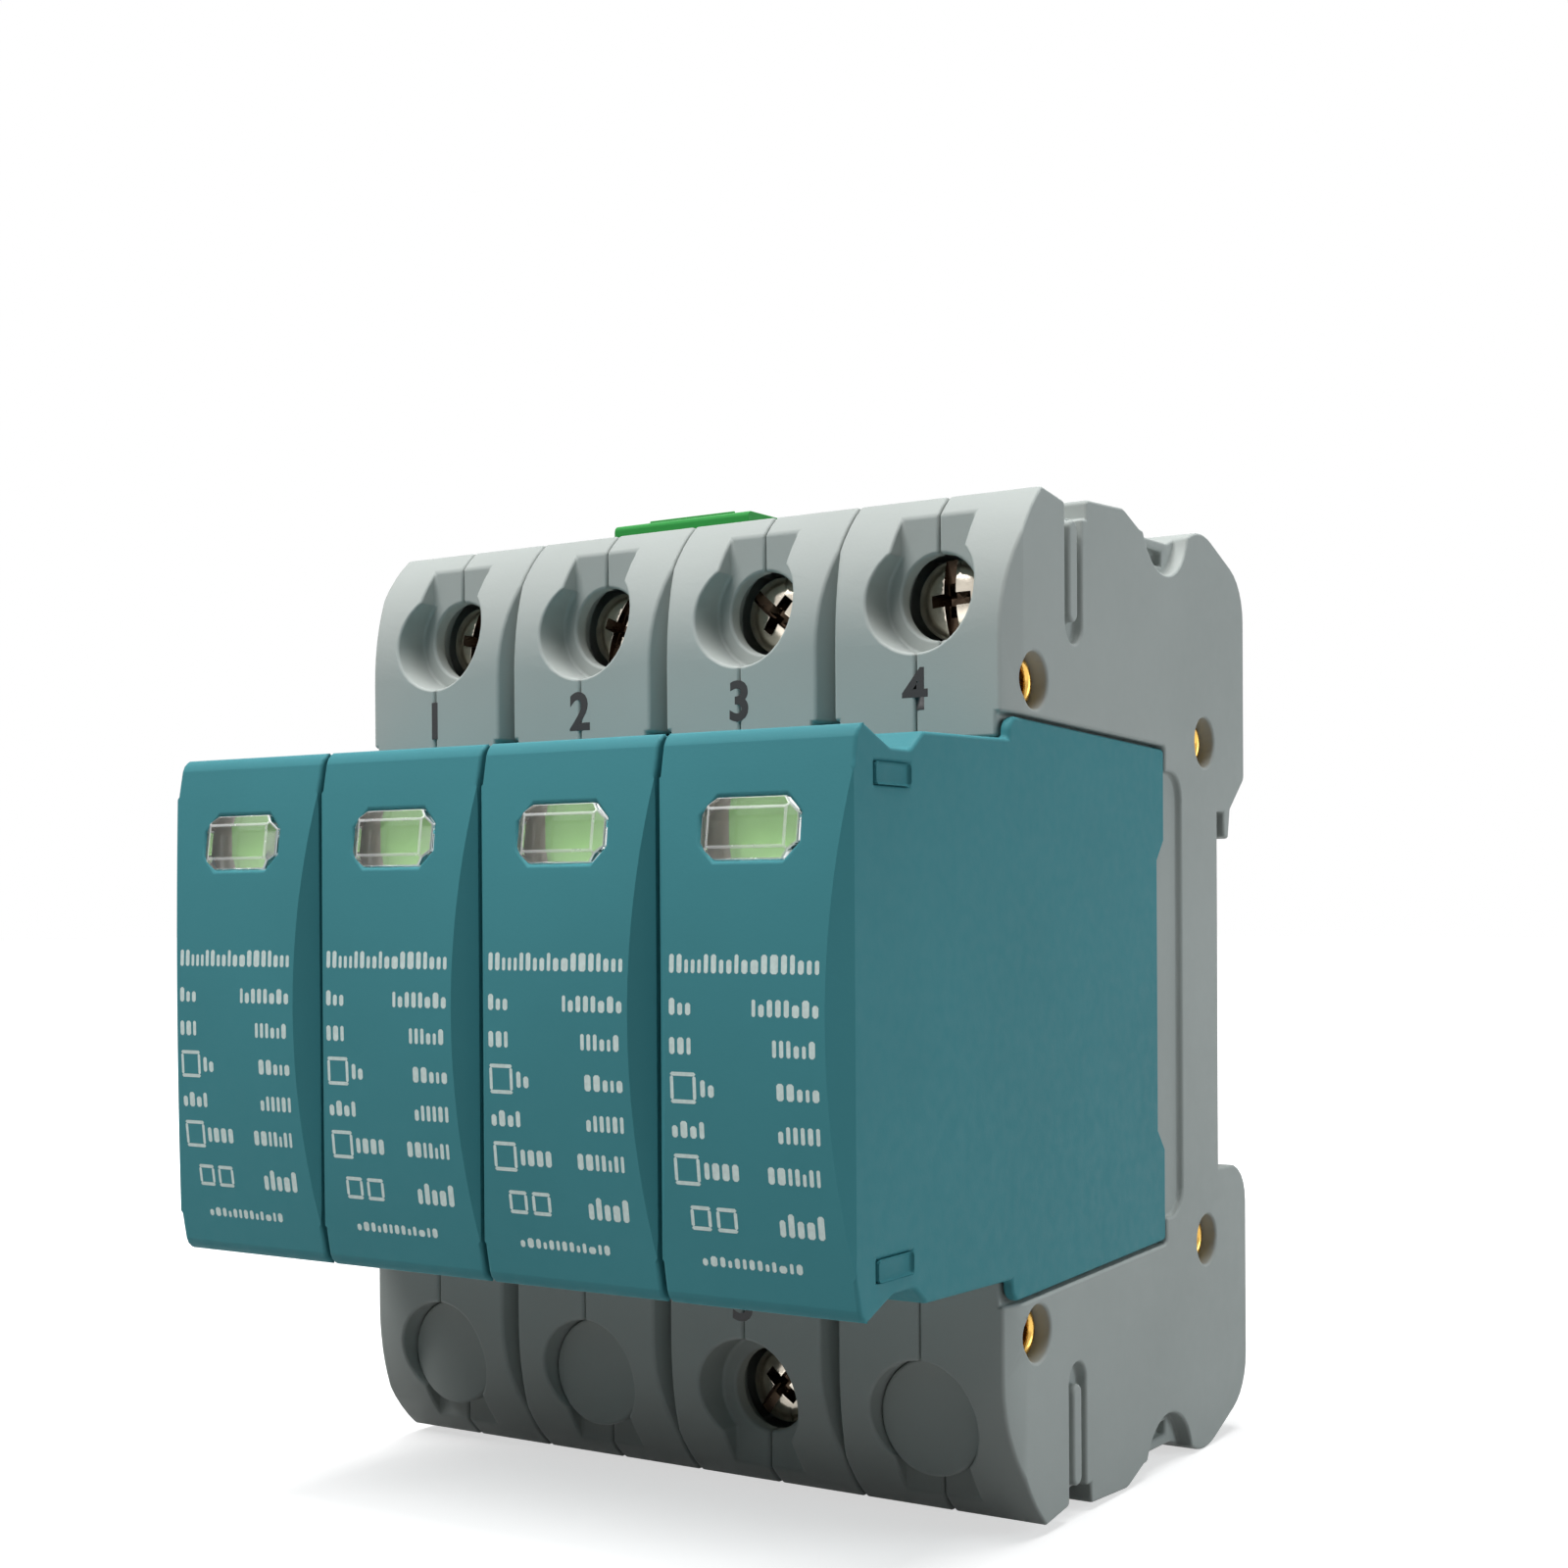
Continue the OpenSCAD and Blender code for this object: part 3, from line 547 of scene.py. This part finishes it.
# the ends of the cutters for the cross and the slot: half width, half length, depth
CROSS_MOUTH = (0.62, 2.35, -0.5)
CROSS_FLOOR = (0.34, 0.9, 2.0)
SLOT_MOUTH = (0.6, 4.5, -0.5)
SLOT_FLOOR = (0.55, 4.5, 0.95)
RECESS_EDGE = 0.06
# faces at least this far below the dome belong to the recess, which takes a darker metal as painted shade
RECESS_LEAST = 0.12
THREAD_CREST = 2.5
THREAD_ROOT = 2.08
THREAD_PITCH = 0.8
THREAD_TIP = 0.5
THREAD_WELD = 1e-4
# share of a turn, and radius, of each edge of the thread
THREAD_STEPS = ((0.0, THREAD_ROOT), (0.12, THREAD_ROOT), (0.44, THREAD_CREST), (0.56, THREAD_CREST))
# turns of the helix that start before the thread does
TURNS_BEFORE = 2
NECK_OVERLAP = 0.1


def dome_depth(radius):
    return DOME_R - math.sqrt(DOME_R ** 2 - radius ** 2)


def head_profile():
    """Depth behind the front of the head, and radius, from the middle of the dome to the rear edge."""
    radii = [DOME_RIM * step / DOME_STEPS for step in range(DOME_STEPS + 1)]
    points = [(dome_depth(radius), radius) for radius in radii]
    rim = dome_depth(DOME_RIM)
    points += [(rim + SHOULDER_DEPTH, SHOULDER_R), (rim + SHOULDER_END, HEAD_R)]
    points += [(HEAD_T - REAR_EDGE_DEPTH, HEAD_R), (HEAD_T, HEAD_R - REAR_EDGE_INSET)]
    return points


def head_mesh():
    """Closed body of a screw head, its axis along Y."""
    bm = bmesh.new()
    profile = head_profile()
    centre = bm.verts.new((0, profile[0][0], 0))
    rings = [ring(bm, depth, radius) for depth, radius in profile[1:]]
    for column in range(COLUMNS):
        bm.faces.new((centre, rings[0][(column + 1) % COLUMNS], rings[0][column]))
    for first, second in zip(rings, rings[1:]):
        join_rings(bm, second, first)
    bm.faces.new(list(reversed(rings[-1])))
    bmesh.ops.recalc_face_normals(bm, faces=bm.faces)
    return mesh_of("screw_head", bm)


def thread_mesh(start, end):
    """Screw thread: rows of vertices that run along the helix, cut off flat at both ends."""
    bm = bmesh.new()
    steps = len(THREAD_STEPS)
    turns = int((end - start) / THREAD_PITCH) + 1 + TURNS_BEFORE
    rows = []
    for index in range(turns * steps):
        phase, radius = THREAD_STEPS[index % steps]
        row = []
        for column in range(COLUMNS + 1):
            part = column / COLUMNS
            depth = start + (index // steps - TURNS_BEFORE + phase + part) * THREAD_PITCH
            depth = min(max(depth, start), end)
            inner = min(radius, THREAD_ROOT - THREAD_TIP + max(0.0, end - depth))
            turn = 2 * math.pi * part
            row.append(bm.verts.new((inner * math.cos(turn), depth, inner * math.sin(turn))))
        rows.append(row)
    for first, second in zip(rows, rows[1:]):
        for column in range(COLUMNS):
            bm.faces.new((first[column], first[column + 1], second[column + 1], second[column]))
    bmesh.ops.remove_doubles(bm, verts=bm.verts, dist=THREAD_WELD)
    bmesh.ops.dissolve_degenerate(bm, edges=bm.edges, dist=THREAD_WELD)
    bmesh.ops.recalc_face_normals(bm, faces=bm.faces)
    return mesh_of("screw_thread", bm)


def wedge_mesh(mouth, floor):
    """A cutter that tapers from its mouth to its floor, each a half width, a half length and a depth."""
    bm = bmesh.new()
    ends = []
    for half_width, half_length, depth in (mouth, floor):
        ends.append([bm.verts.new((x * half_width, depth, z * half_length)) for x, z in SQUARE])
    bm.faces.new(ends[0])
    bm.faces.new(list(reversed(ends[1])))
    join_rings(bm, ends[1], ends[0])
    bmesh.ops.recalc_face_normals(bm, faces=bm.faces)
    return mesh_of("screw_cutter", bm)


def make_screw(node, turn):
    """A screw in place of a plain one, its cross turned by an angle as seen from the front."""
    low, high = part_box(node)
    wing = wedge_mesh(CROSS_MOUTH, CROSS_FLOOR)
    slot = wedge_mesh(SLOT_MOUTH, SLOT_FLOOR)
    upright = Matrix.Identity(4)
    level = Matrix.Rotation(math.pi / 2, 4, "Y")
    head = cut_away(head_mesh(), ((wing, upright), (wing, level), (slot, upright)), RECESS_EDGE)
    bm = bmesh.new()
    bm.from_mesh(head)
    # the faces inside the cross and the slot take the darker metal, as painted shade in the recess
    for face in bm.faces:
        x, depth, z = face.calc_center_median()
        radius = math.hypot(x, z)
        if radius < DOME_RIM and dome_depth(radius) + RECESS_LEAST < depth < HEAD_T - RECESS_LEAST:
            face.material_index = SECOND_MATERIAL
    bm.from_mesh(thread_mesh(HEAD_T - NECK_OVERLAP, (high.y - low.y) / MM))
    axis_x, axis_z = middle(node)
    front = Matrix.Translation((axis_x, low.y, axis_z))
    bm.transform(front @ Matrix.Rotation(-turn, 4, "Y") @ Matrix.Scale(MM, 4))
    name = f"{node}_threaded"
    materials = [finishes[slot_of[node]], painted_recess_shade]
    piece = place(name, mesh_of(name, bm), materials, body_of[node])
    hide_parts(node)
    even_shading(piece)


for node, turn in SCREW_TURNS.items():
    make_screw(node, math.radians(turn))

# Numerals on the base

INK_LIFT = 0.008 * MM
base_front = round(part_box("pole_1_left_shell")[0].y, PLACE_DIGITS)
MARK_Z = 26.8 * MM
# in millimetres; a numeral is as high as this share of the font's size
MARK_HEIGHT = 3.4
GLYPH_SHARE = 0.7
MARK_BOLD = 0.14
MARK_CURVE_STEPS = 4


def make_numeral(text, x, z):
    """A plain black numeral on the front of the base."""
    curve = bpy.data.curves.new(f"mark_{text}", "FONT")
    curve.body = text
    curve.size = MARK_HEIGHT / GLYPH_SHARE
    curve.offset = MARK_BOLD
    curve.align_x = "CENTER"
    curve.align_y = "CENTER"
    curve.resolution_u = MARK_CURVE_STEPS
    draft = add_object("draft", curve)
    graph = bpy.context.evaluated_depsgraph_get()
    mesh = bpy.data.meshes.new_from_object(draft.evaluated_get(graph))
    bpy.data.objects.remove(draft)
    spot = Matrix.Translation((x, base_front - INK_LIFT, z))
    mesh.transform(spot @ Matrix.Rotation(math.pi / 2, 4, "X") @ Matrix.Scale(MM, 4))
    place(f"mark_{text}", mesh, [print_black], "base")


for pole in POLES:
    make_numeral(str(pole), pole_x(pole), MARK_Z)
make_numeral("5", middle("pe_screw")[0], -MARK_Z)

# Print on the modules, in millimetres from the middle of a module

PRINT_SEED = 7
PRINT_ROW = 1.3
PRINT_LEFT = -6.8
PRINT_RIGHT = 6.9
FRAME_SIDE = 2.4
FRAME_LINE = 0.3
FRAME_GAP = 0.4
BAR_LEAST = 0.3
BAR_MOST = 0.7
BAR_GAP = 0.27
BAR_HEIGHTS = (1.0, 1.0, 0.72)
CORNER_CUT = 0.16
CORNER_SHARE = 0.3
HEADING_Z = 4.375
HEADING_HEIGHT = 1.45
# height of a row, width of its left word, width of its right word, with a square outline or not
PRINT_ROWS = (
    (1.1, 2.0, 6.1, False),
    (-1.9, 2.0, 4.3, False),
    (-5.1, 1.4, 4.0, True),
    (-8.3, 3.5, 4.0, False),
    (-11.4, 3.2, 5.1, True),
)
# the row with two square outlines and a larger word
LARGE_Z = -15.1
LARGE_FRAMES = (-5.6, -3.2)
LARGE_FRAME_SIDE = 1.9
LARGE_LEFT = 2.5
LARGE_WIDTH = 4.3
LARGE_HEIGHT = 1.8
# the small row at the foot
FOOT_Z = -18.4
FOOT_LEFT = -4.9
FOOT_WIDTH = 9.6
FOOT_HEIGHT = 0.8
# a place well in front of the modules, in metres
RAY_START = -0.2


class Stencil:
    """Collects flat printed shapes on the curved front of a module."""

    def __init__(self, pole):
        self.bm = bmesh.new()
        case = nodes[f"module_{pole}_case"]
        self.front = BVHTree.FromPolygons([case.matrix_world @ vert.co for vert in case.data.vertices],
                                          [face.vertices for face in case.data.polygons])
        self.x = pole_x(pole)

    def point(self, x, z):
        start = Vector((self.x + x * MM, RAY_START, z * MM))
        spot = self.front.ray_cast(start, (0, 1, 0))[0]
        return self.bm.verts.new((start.x, spot.y - INK_LIFT, start.z))

    def block(self, left, low, width, height):
        """A bar with cut corners."""
        cut = min(CORNER_CUT, CORNER_SHARE * width)
        right, top = left + width, low + height
        outline = [(left + cut, low), (right - cut, low), (right, low + cut), (right, top - cut),
                   (right - cut, top), (left + cut, top), (left, top - cut), (left, low + cut)]
        self.bm.faces.new([self.point(x, z) for x, z in outline])

    def square(self, left, row, side):
        """A square outline, its middle at the height of the row."""
        low = row - side / 2
        upright = side - 2 * FRAME_LINE
        self.block(left, low, side, FRAME_LINE)
        self.block(left, low + side - FRAME_LINE, side, FRAME_LINE)
        self.block(left, low + FRAME_LINE, FRAME_LINE, upright)
        self.block(left + side - FRAME_LINE, low + FRAME_LINE, FRAME_LINE, upright)

    def word(self, chance, left, row, width, height=PRINT_ROW):
        """A row of bars of uneven width and height, as wide as a printed word."""
        end = left + width
        while left < end - BAR_LEAST:
            bar = min(chance.uniform(BAR_LEAST, BAR_MOST), end - left)
            self.block(left, row - height / 2, bar, height * chance.choice(BAR_HEIGHTS))
            left += bar + BAR_GAP


def print_module(pole):
    """Rows of pale bars and square outlines on the front of a module."""
    chance = random.Random(PRINT_SEED)
    stencil = Stencil(pole)
    stencil.word(chance, PRINT_LEFT, HEADING_Z, PRINT_RIGHT - PRINT_LEFT, HEADING_HEIGHT)
    for row, left_width, right_width, framed in PRINT_ROWS:
        left = PRINT_LEFT
        if framed:
            stencil.square(left, row, FRAME_SIDE)
            left += FRAME_SIDE + FRAME_GAP
        stencil.word(chance, left, row, left_width)
        stencil.word(chance, PRINT_RIGHT - right_width, row, right_width)
    for left in LARGE_FRAMES:
        stencil.square(left, LARGE_Z, LARGE_FRAME_SIDE)
    stencil.word(chance, LARGE_LEFT, LARGE_Z, LARGE_WIDTH, LARGE_HEIGHT)
    stencil.word(chance, FOOT_LEFT, FOOT_Z, FOOT_WIDTH, FOOT_HEIGHT)
    name = f"module_{pole}_print"
    place(name, mesh_of(name, stencil.bm), [print_pale], f"module_{pole}")


for pole in POLES:
    print_module(pole)

# Red fields behind the flags

FIELD_INSET = 0.25 * MM


def trip_field(pole):
    """Red field printed on the carrier, which shows in the window once the flag has dropped."""
    low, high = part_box(f"module_{pole}_flag")
    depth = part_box(f"module_{pole}_carrier")[0].y - INK_LIFT
    left, right = low.x + FIELD_INSET, high.x - FIELD_INSET
    bottom, top = low.z + FIELD_INSET, high.z - FIELD_INSET
    outline = ((left, bottom), (right, bottom), (right, top), (left, top))
    bm = bmesh.new()
    bm.faces.new([bm.verts.new((x, depth, z)) for x, z in outline])
    name = f"module_{pole}_trip_field"
    place(name, mesh_of(name, bm), [trip_red], f"module_{pole}")


for pole in POLES:
    trip_field(pole)

# Floor and light

WHITE = (1.0, 1.0, 1.0)
COOL = (0.88, 0.96, 1.0)
FLOOR_HALF = 3.0
FLOOR_ROUGHNESS = 0.9
FLOOR_SHINE = 0.1
# colour of the floor where it is seen, and where it throws light on the object
FLOOR_PALE = (0.6, 0.6, 0.6, 1.0)
FLOOR_BOUNCE = (0.3, 0.3, 0.3, 1.0)
# the floor's glow grows from its least to white between these distances
GLOW_NEAR = 0.10
GLOW_FAR = 0.32
GLOW_LEAST = 0.62
AMBIENT = 0.04
LAMP_AIM = Vector((0, -0.03, 0))
# place, side length, power in watts and colour of each lamp
LAMPS = {
    "top_light": ((0, -0.05, 0.9), 0.6, 8.8, WHITE),
    "front_light": ((-0.20, -0.55, 0.72), 0.5, 5.5, WHITE),
    "side_light": ((0.85, 0.3, 0.25), 0.5, 3.1, COOL),
}


def seen_rays(tree):
    """1 for rays from the camera, also by way of metal or glass, 0 for rays that light the object."""
    path = tree.nodes.new("ShaderNodeLightPath")
    seen = path.outputs["Is Camera Ray"]
    for kind in ("Is Glossy Ray", "Is Transmission Ray"):
        seen = combine(tree, "MAXIMUM", seen, path.outputs[kind])
    return seen


def floor_finish():
    """Pale where it is seen, darker where it throws light back, and white in the distance."""
    material, tree, shader = new_material("pale_floor")
    seen = seen_rays(tree)
    pale = tree.nodes.new("ShaderNodeMix")
    pale.data_type = "RGBA"
    pale.inputs["A"].default_value = FLOOR_BOUNCE
    pale.inputs["B"].default_value = FLOOR_PALE
    tree.links.new(seen, pale.inputs["Factor"])
    tree.links.new(pale.outputs["Result"], shader.inputs["Base Color"])
    shader.inputs["Roughness"].default_value = FLOOR_ROUGHNESS
    shader.inputs["Specular IOR Level"].default_value = FLOOR_SHINE
    shader.inputs["Emission Color"].default_value = (*WHITE, 1.0)
    away = tree.nodes.new("ShaderNodeVectorMath")
    away.operation = "LENGTH"
    tree.links.new(object_coord(tree), away.inputs[0])
    fade = add(tree, "ShaderNodeMapRange", From_Min=GLOW_NEAR, From_Max=GLOW_FAR,
               To_Min=GLOW_LEAST, To_Max=1.0)
    tree.links.new(away.outputs["Value"], fade.inputs["Value"])
    glow = combine(tree, "MULTIPLY", fade.outputs["Result"], seen)
    tree.links.new(glow, shader.inputs["Emission Strength"])
    return material


def make_floor():
    """A pale floor that runs into white away from the object and keeps its shadow."""
    bottom = cad_box[0][2]
    mesh = bpy.data.meshes.new("floor")
    mesh.from_pydata([(x * FLOOR_HALF, y * FLOOR_HALF, bottom) for x, y in SQUARE], [], [(0, 1, 2, 3)])
    mesh.materials.append(floor_finish())
    add_object("floor", mesh)


def make_world():
    """A white background where it is seen, and a little light from all sides."""
    world = bpy.data.worlds.new("studio")
    scene.world = world
    world.use_nodes = True
    tree = world.node_tree
    background = tree.nodes["Background"]
    level = add(tree, "ShaderNodeMapRange", To_Min=AMBIENT, To_Max=1.0)
    tree.links.new(seen_rays(tree), level.inputs["Value"])
    tree.links.new(level.outputs["Result"], background.inputs["Strength"])
    background.inputs["Color"].default_value = (*WHITE, 1.0)


def make_lamp(name, position, side, power, colour):
    data = bpy.data.lights.new(name, "AREA")
    data.shape = "RECTANGLE"
    data.size = side
    data.size_y = side
    data.energy = power
    data.color = colour
    lamp = add_object(name, data)
    lamp.location = position
    lamp.rotation_euler = (LAMP_AIM - Vector(position)).to_track_quat("-Z", "Y").to_euler()


make_floor()
make_world()
for name, settings in LAMPS.items():
    make_lamp(name, *settings)

# Camera at the photograph's viewing angle, with its angles in degrees

CAMERA_PLACE = Vector((119.04, -208.51, 8.83)) * MM
CAMERA_YAW = 32.861
CAMERA_PITCH = -0.434
CAMERA_ROLL = -0.353
CAMERA_SHIFT_Y = 0.0874
CAMERA_CLIP = 0.01
# in millimetres
SENSOR_WIDTH = 36.0
LENS_LENGTH = 50.63


def make_camera():
    yaw, pitch, roll = (math.radians(angle) for angle in (CAMERA_YAW, CAMERA_PITCH, CAMERA_ROLL))
    data = bpy.data.cameras.new("camera")
    data.sensor_fit = "HORIZONTAL"
    data.sensor_width = SENSOR_WIDTH
    data.lens = LENS_LENGTH
    data.shift_y = CAMERA_SHIFT_Y
    data.clip_start = CAMERA_CLIP
    camera = add_object("camera", data)
    camera.matrix_world = (Matrix.Translation(CAMERA_PLACE) @ Matrix.Rotation(yaw, 4, "Z")
                           @ Matrix.Rotation(math.pi / 2 + pitch, 4, "X") @ Matrix.Rotation(roll, 4, "Z"))
    scene.camera = camera


make_camera()
scene.view_settings.view_transform = "Standard"

bpy.context.view_layer.update()
